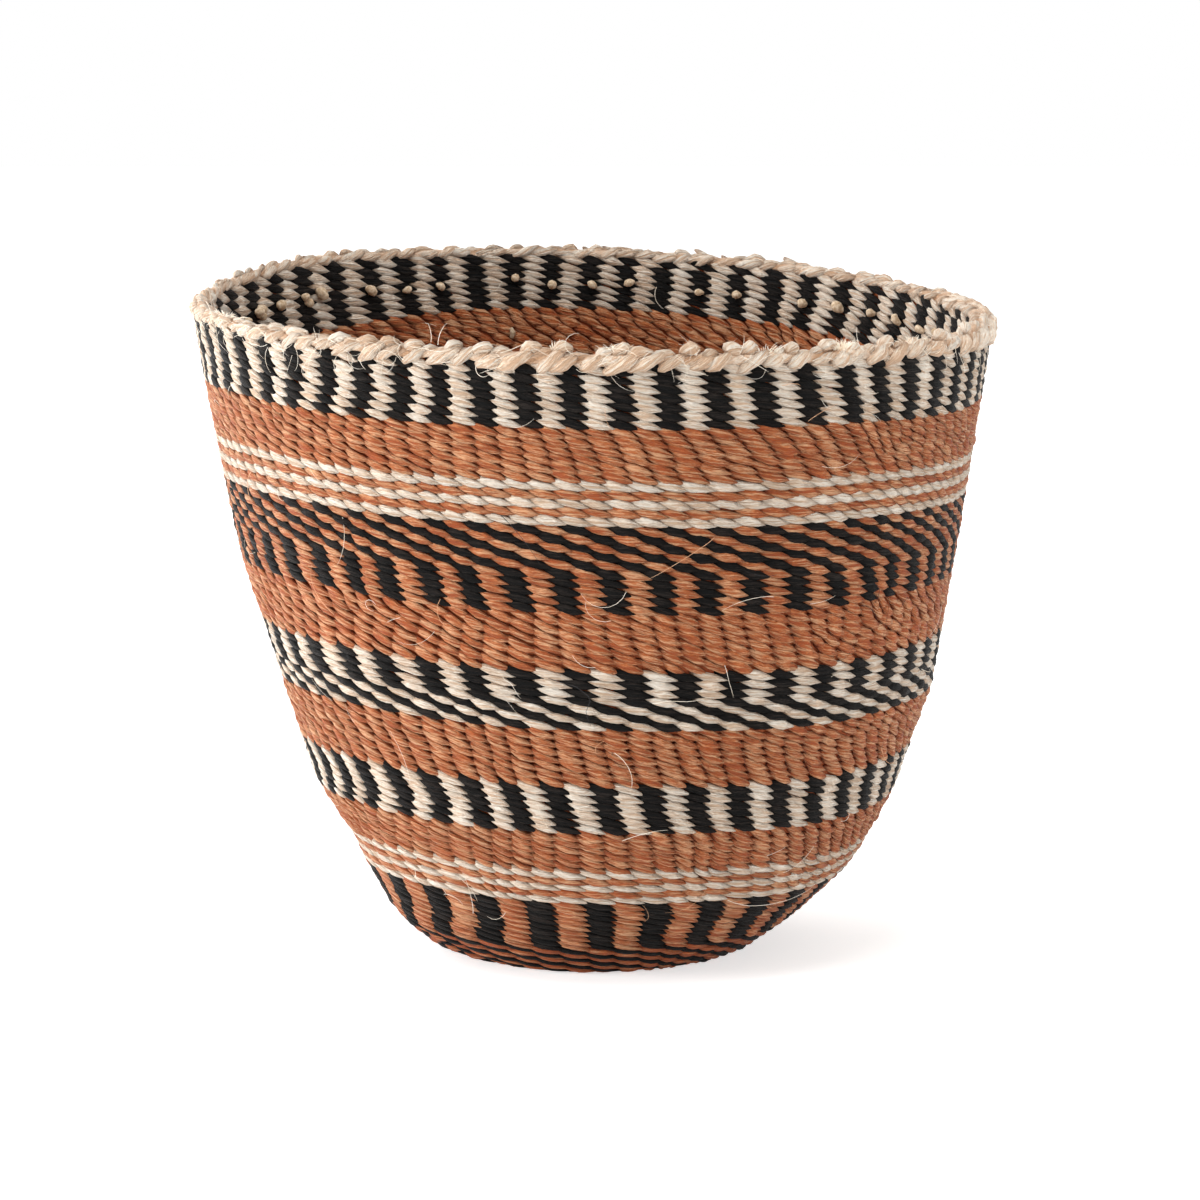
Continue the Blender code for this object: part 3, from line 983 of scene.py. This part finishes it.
step = MOUTH_ROUND / CORD_STEPS
flattened = Matrix.Diagonal((1, CORD_TALL, CORD_DEEP, 1)) @ UPRIGHT @ Matrix.Rotation(math.pi / 2, 4, "Z")
piece = sweep(CORD_SIDES, [Matrix.Translation((x, 0, 0)) @ flattened for x in (0, step)])
cord = copied_round(finished(piece, "cord"), step, CORD_STEPS)
flat = read(cord, "co")
at = np.rint(flat[:, 0] / step) * math.tau / CORD_STEPS
spin = np.arctan2(flat[:, 2] / CORD_DEEP, flat[:, 1] / CORD_TALL)
lumps = np.zeros(len(flat))
for _ in range(CORD_LUMPS):
    waves, turns_round = rng.integers(14, 120), rng.integers(0, 4)
    lumps += np.sin(waves * at + turns_round * spin + rng.uniform(0, math.tau))
lumps *= CORD_UNEVEN
# painted shade: the cord under the grains takes about a third of the crevice shade colour, more where its lumps
# dip and less where they swell
yarn_points(cord, flat[:, 0] * 150, spin + flat[:, 0] * 260, 0.45 + lumps, np.clip(0.7 + lumps * 2, 0, 1))
spots = on_rim(at, flat[:, 1] * (1 + lumps), flat[:, 2] * (1 + lumps))
laid(cord, "rim_cord", spots, "rim_braid", YARNS["natural"])

# %% Grains laid over the cord
GRAIN_SIDES = 10
# how thick and how long the grains are, as shares of the drawn one
FATTER = (0.66, 1.28)
LONGER = (0.75, 1.2)
# along in grains, metres up, metres outwards, radius
OUTER_GRAIN = (
    (-0.60, -0.0026, 0.0021, 0.0005),
    (-0.48, -0.0022, 0.0026, 0.0012),
    (-0.30, -0.0015, 0.0029, 0.0017),
    (-0.06, -0.0007, 0.0029, 0.0020),
    (0.18, 0.0002, 0.0027, 0.0020),
    (0.40, 0.0010, 0.0022, 0.0017),
    (0.58, 0.0016, 0.0015, 0.0012),
    (0.70, 0.0019, 0.0008, 0.0006),
)
INNER_GRAIN = (
    (-0.62, 0.0014, -0.0014, 0.0005),
    (-0.46, 0.0011, -0.0021, 0.0011),
    (-0.22, 0.0005, -0.0025, 0.0015),
    (0.05, -0.0002, -0.0027, 0.0016),
    (0.30, -0.0008, -0.0026, 0.0014),
    (0.50, -0.0012, -0.0022, 0.0010),
    (0.64, -0.0014, -0.0018, 0.0005),
)
TOP_GRAIN = (
    (-0.50, 0.0007, 0.0006, 0.0005),
    (-0.36, 0.0015, 0.0007, 0.0012),
    (-0.16, 0.0021, 0.0005, 0.0016),
    (0.06, 0.0023, 0.0001, 0.0017),
    (0.26, 0.0020, -0.0005, 0.0014),
    (0.42, 0.0014, -0.0009, 0.0010),
    (0.52, 0.0008, -0.0011, 0.0004),
)
# knobs that stand out in the photograph: degrees to the right of the front's middle, metres raised, how fat
PROUD = (
    (-51.5, 0.0012, 1.15), (-49.0, 0.0014, 1.2), (-47.2, 0.0010, 1.1), (-44.5, 0.0008, 1.2),
    (-38.0, 0.0004, 1.35), (-33.0, 0.0008, 1.2), (-29.0, 0.0010, 1.2), (-24.5, 0.0004, 1.3),
    (-19.0, 0.0008, 1.25), (-14.5, 0.0010, 1.2), (-11.0, 0.0018, 1.35), (-8.3, 0.0014, 1.4),
    (-4.8, 0.0020, 1.25), (-1.0, 0.0002, 1.3), (4.6, 0.0016, 1.25), (8.0, 0.0006, 1.3),
    (13.0, 0.0018, 1.3), (20.0, 0.0016, 1.45), (24.0, 0.0014, 1.4), (28.0, 0.0012, 1.3),
    (36.8, 0.0016, 1.3), (46.0, 0.0010, 1.4), (57.0, 0.0012, 1.3), (68.0, 0.0012, 1.3),
)


def grain_row(name, path, count, wander, proud=()):
    """A chain of grains round the rim. wander says how far they slide, rise, stand out and lean."""
    pitch = MOUTH_ROUND / count
    points = [Vector((along * pitch, up, outward)) for along, up, outward, _ in path]
    matrices = []
    for number, point in enumerate(points):
        heading = points[min(number + 1, len(points) - 1)] - points[max(number - 1, 0)]
        turned = heading.normalized().to_track_quat("Z", "Y").to_matrix().to_4x4()
        matrices.append(Matrix.Translation(point) @ turned @ Matrix.Scale(path[number][3], 4))
    grain = capped_tube(GRAIN_SIDES, matrices)
    mesh = copied_round(grain, pitch, count)
    flat = read(mesh, "co")
    which = np.arange(len(flat)) // len(grain.vertices)
    section = np.rint(read(mesh, "section")).astype(int)
    line = np.array(path)[section, :3] * (pitch, 1, 1)
    line[:, 0] += which * pitch
    slid, raised, pushed, leant = rng.normal(size=(4, count)) * np.array(wander)[:, None]
    fatter, longer = rng.uniform(*FATTER, count), rng.uniform(*LONGER, count)
    for degrees, up, fat in proud:
        nearest = round(right_of_front(degrees) % math.tau / math.tau * count) % count
        raised[nearest], fatter[nearest] = up, fat
    lumps = 1 + 0.14 * np.sin(section * 2.1 + which * 2.3)
    points = line + (flat - line) * (fatter[which] * lumps)[:, None]
    centred = points[:, 0] - which * pitch
    along = which * pitch + centred * longer[which] + slid[which]
    up = points[:, 1] + raised[which] + leant[which] * centred / pitch
    outward = points[:, 2] + pushed[which]
    spin = np.arctan2(read(mesh, "toward"), read(mesh, "across")) + centred * 150
    tone = 0.5 + 0.3 * rng.normal(size=count)[which]
    # painted shade at each grain's two ends, where it tucks under its neighbours
    clear_of_shade = np.clip(0.45 + 0.8 * np.sin(math.pi * section / (len(path) - 1)), 0, 1)
    yarn_points(mesh, along * 170 + which * 17.3, spin, tone, clear_of_shade)
    laid(mesh, name, on_rim(along / MOUTH_ROUND * math.tau, up, outward), "rim_braid", YARNS["natural"])


grain_row("rim_outer_grains", OUTER_GRAIN, 100, (0.0014, 0.0004, 0.00030, 0.0012))
grain_row("rim_inner_grains", INNER_GRAIN, 110, (0.0014, 0.0003, 0.00030, 0.0009))
grain_row("rim_top_grains", TOP_GRAIN, 112, (0.0016, 0.0004, 0.00050, 0.0008), PROUD)

# %% [markdown]
# ## Tucked ends and loose hairs
#
# Four rows below the rim the plaited ends come out on the inside and are cut short, one to every pair of
# warps. A few more show lower down, where yarn was joined. And sisal sheds: fine hairs stand off the
# whole basket, most of them at the rim. Each is a thin curve with a taper.

# %% Tubes from curves
CAP_SEAM = 1e-7


def tubes(name, paths, radius, resolution, node, look):
    """Many round tubes as one piece. Each path is rows of x, y, z and a share of the radius."""
    curve = bpy.data.curves.new(name, "CURVE")
    curve.dimensions = "3D"
    curve.bevel_depth = radius
    curve.bevel_resolution = resolution
    curve.use_fill_caps = True
    for path in paths:
        spline = curve.splines.new("POLY")
        spline.points.add(len(path) - 1)
        spline.points.foreach_set("co", np.column_stack([path[:, :3], np.ones(len(path))]).ravel())
        spline.points.foreach_set("radius", path[:, 3])
    mesh = as_mesh(set_down(name, curve))
    mesh.shade_smooth()
    bm = unpacked(mesh)
    for edge in bm.edges:
        edge.smooth = not edge.is_boundary
    dress(name, finished(bm, name, CAP_SEAM), node, look)


def with_radius(points, shares):
    """Points and their shares of the radius as one array."""
    return np.column_stack([points, np.broadcast_to(shares, len(points))])


# %% Cut ends inside
TUCK_ROW = TOP_ROW - 3.6
STUB_RADIUS = 0.0013
LOWER_STUBS = 46

paths = []
cream_warps = warps_by_row[-1][1][1 - dark_side["weft_stripes_top_cream_black"] :: 2]
tucked = [angle for angle in cream_warps if rng.random() < 0.92]
tucked += [right_of_front(rng.uniform(-132, -100)) for _ in range(9)]
for angle in tucked:
    steps = np.array([-1.0, -0.45, 0.1, 0.6, 1.0])
    rows = TUCK_ROW + rng.normal() * 0.3 + steps * rng.uniform(-0.25, 0.5)
    side = angle + rng.normal() * 0.005 + steps * rng.uniform(0.004, 0.013)
    depth = -np.array([0.0024, 0.0038, 0.0043, 0.0040, 0.0030]) - rng.uniform(0, 0.0005)
    shares = np.array([0.7, 1.15, 1.3, 1.1, 0.6]) * rng.uniform(0.8, 1.25)
    paths.append(with_radius(place(side, rows, depth), shares))
for _ in range(LOWER_STUBS):
    rows = rng.uniform(14, TOP_ROW - 9) + np.array([-0.4, 0.1, 0.6])
    side = rng.uniform(0, math.tau) + rng.normal(size=3) * 0.003
    depth = -np.array([0.0026, 0.0040, 0.0036])
    shares = np.array([0.7, 1.0, 0.6]) * rng.uniform(0.6, 1.1)
    paths.append(with_radius(place(side, rows, depth), shares))
CUT_END = plain_sisal("cut_sisal_ends", (0.42, 0.28, 0.16), (0.74, 0.60, 0.44), 900.0)
tubes("tucked_ends_inside", paths, STUB_RADIUS, 2, "rim_braid", CUT_END)


# %% Loose hairs
HAIR_RADIUS = 0.00007
HAIR_BEND = 1.6


def hair(angle, row, outward, length, rise):
    """A hair that springs from the surface and bends over in an arc."""
    steps = np.linspace(0, 1, 8)
    turn = rng.uniform(0, math.tau) + rng.normal() * HAIR_BEND * steps
    along, up = np.cumsum([np.cos(turn), np.sin(turn)], axis=1) * length / len(steps)
    radius = np.interp(row, line_rows, radii)
    tall = np.interp(row, line_rows, row_height)
    lifted = outward + math.copysign(rise, outward) * np.sin(math.pi * steps * rng.uniform(0.6, 1.0))
    spots = place(angle + along / radius, row + up / tall, lifted)
    return with_radius(spots, np.interp(steps, [0, 0.7, 1], [1.0, 0.8, 0.35]) * rng.uniform(0.6, 1.3))


# how many, their colours, where round the front they gather and how widely, lowest and highest row, metres
# outwards, shortest and longest, and how far they stand off
MOSTLY_CREAM = ("cream", "cream", "cream", "brown", "black")
SHED = (
    (150, MOSTLY_CREAM, None, (20, TOP_ROW), WALL / 2, (0.006, 0.024), (0.0003, 0.0022)),
    (230, ("cream",), None, (TOP_ROW - 0.6, TOP_ROW + 1.6), 0.0032, (0.004, 0.014), (0.0006, 0.0026)),
    (50, ("cream",), (-45, 16), (TOP_ROW - 1.6, TOP_ROW + 1.2), 0.0034, (0.004, 0.014), (0.0004, 0.002)),
    (90, ("cream",), None, (TOP_ROW - 30, TOP_ROW), -WALL / 2, (0.004, 0.012), (0.0004, 0.002)),
)
hairs = {"cream": [], "brown": [], "black": []}
for count, colours, gathered, rows, outward, lengths, rises in SHED:
    for _ in range(count):
        colour = rng.choice(colours) if len(colours) > 1 else colours[0]
        angle = right_of_front(rng.normal(*gathered)) if gathered else rng.uniform(0, math.tau)
        row = rng.uniform(*rows)
        hairs[colour].append(hair(angle, row, outward, rng.uniform(*lengths), rng.uniform(*rises)))

# brushes of cut fibre on the rim: degrees to the right of the front's middle, width in degrees, height, fibres
TUFTS = (
    (36.8, 1.5, 0.0034, 90), (13.9, 0.5, 0.0036, 34), (-5.3, 0.5, 0.0042, 26), (3.6, 1.4, 0.0036, 40),
    (-66.0, 3.0, 0.0034, 26), (-49.0, 2.0, 0.0030, 30), (24.0, 2.5, 0.0034, 30), (51.0, 1.6, 0.0030, 30),
)
steps = np.array([0.0, 0.4, 0.75, 1.0])
for degrees, wide, tall, count in TUFTS:
    for _ in range(count):
        lean = 0.5 * rng.normal()
        side = right_of_front(degrees + wide * (lean + rng.normal() * 0.2 + lean * steps**2))
        up = 0.0018 + tall * rng.uniform(0.5, 1.0) * steps
        spots = on_rim(side, up, rng.normal() * 0.0008 * (0.5 + steps))
        hairs["cream"].append(with_radius(spots, np.array([1.8, 1.6, 1.3, 0.8])))

# single fibres that catch the eye: colour, degrees and rows they run through, metres they stand off
FIBRES = (
    ("brown", (17.6, 14.5, 11.5, 7.9), (72.9, 71.4, 69.9, 68.1), 0.0018),
    ("cream", (30.0, 36.0, 42.6, 51.0, 59.5), (26.9, 26.0, 25.8, 26.1, 27.2), 0.0016),
    ("brown", (-64.0, -65.0, -65.5), (76.0, 74.0, 72.2), 0.0016),
    ("black", (-9.0, -4.5, -2.0, -3.2, -2.6), (57.2, 56.6, 55.2, 53.4, 51.6), 0.0018),
    ("cream", (-16.5, -15.0, -14.0), (57.0, 56.5, 54.6), 0.0014),
    ("cream", (8.0, 10.5, 14.0, 17.5), (54.4, 54.9, 54.8, 55.1), 0.0014),
    ("cream", (20.0, 20.6, 21.6), (58.8, 57.0, 55.0), 0.0014),
)
steps = np.linspace(0, 1, 12)
for colour, degrees, rows, off in FIBRES:
    known = np.linspace(0, 1, len(rows))
    side = right_of_front(np.interp(steps, known, degrees))
    spots = place(side, np.interp(steps, known, rows), WALL / 2 + off * np.sin(math.pi * steps) ** 0.5)
    hairs[colour].append(with_radius(spots, np.interp(steps, [0, 0.8, 1], [1.2, 1.0, 0.4])))

# node, darker and lighter colour, and the painted glow that stands in for the light that comes through
LOOSE = {
    "cream": ("rim_braid", (0.84, 0.72, 0.56), (0.98, 0.93, 0.84), 0.16),
    "brown": ("weft_plain_upper_brown", (0.66, 0.32, 0.16), (0.88, 0.55, 0.34), 0.10),
    "black": ("weft_stripes_top_cream_black", (0.010, 0.010, 0.012), (0.04, 0.04, 0.045), 0.0),
}
for colour, (node, dark, light, glow) in LOOSE.items():
    look = plain_sisal(f"loose_{colour}_hair", dark, light, 300.0, glow)
    tubes(f"loose_{colour}_hairs", hairs[colour], HAIR_RADIUS, 0, node, look)

# %% [markdown]
# ## The size
#
# Both boxes are printed: the CAD box, and the box of the dressed basket, whose woven surface stands a
# little proud of the CAD shapes. The dressed basket has to stay inside the CAD box, give or take what a
# woven surface stands proud.

# %% Boxes
dressed_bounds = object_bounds()
boxes = {"cad": [list(corner) for corner in cad_bounds], "dressed": [list(corner) for corner in dressed_bounds]}
for name, (low, high) in boxes.items():
    print(name, [round(value, 4) for value in low], [round(value, 4) for value in high])
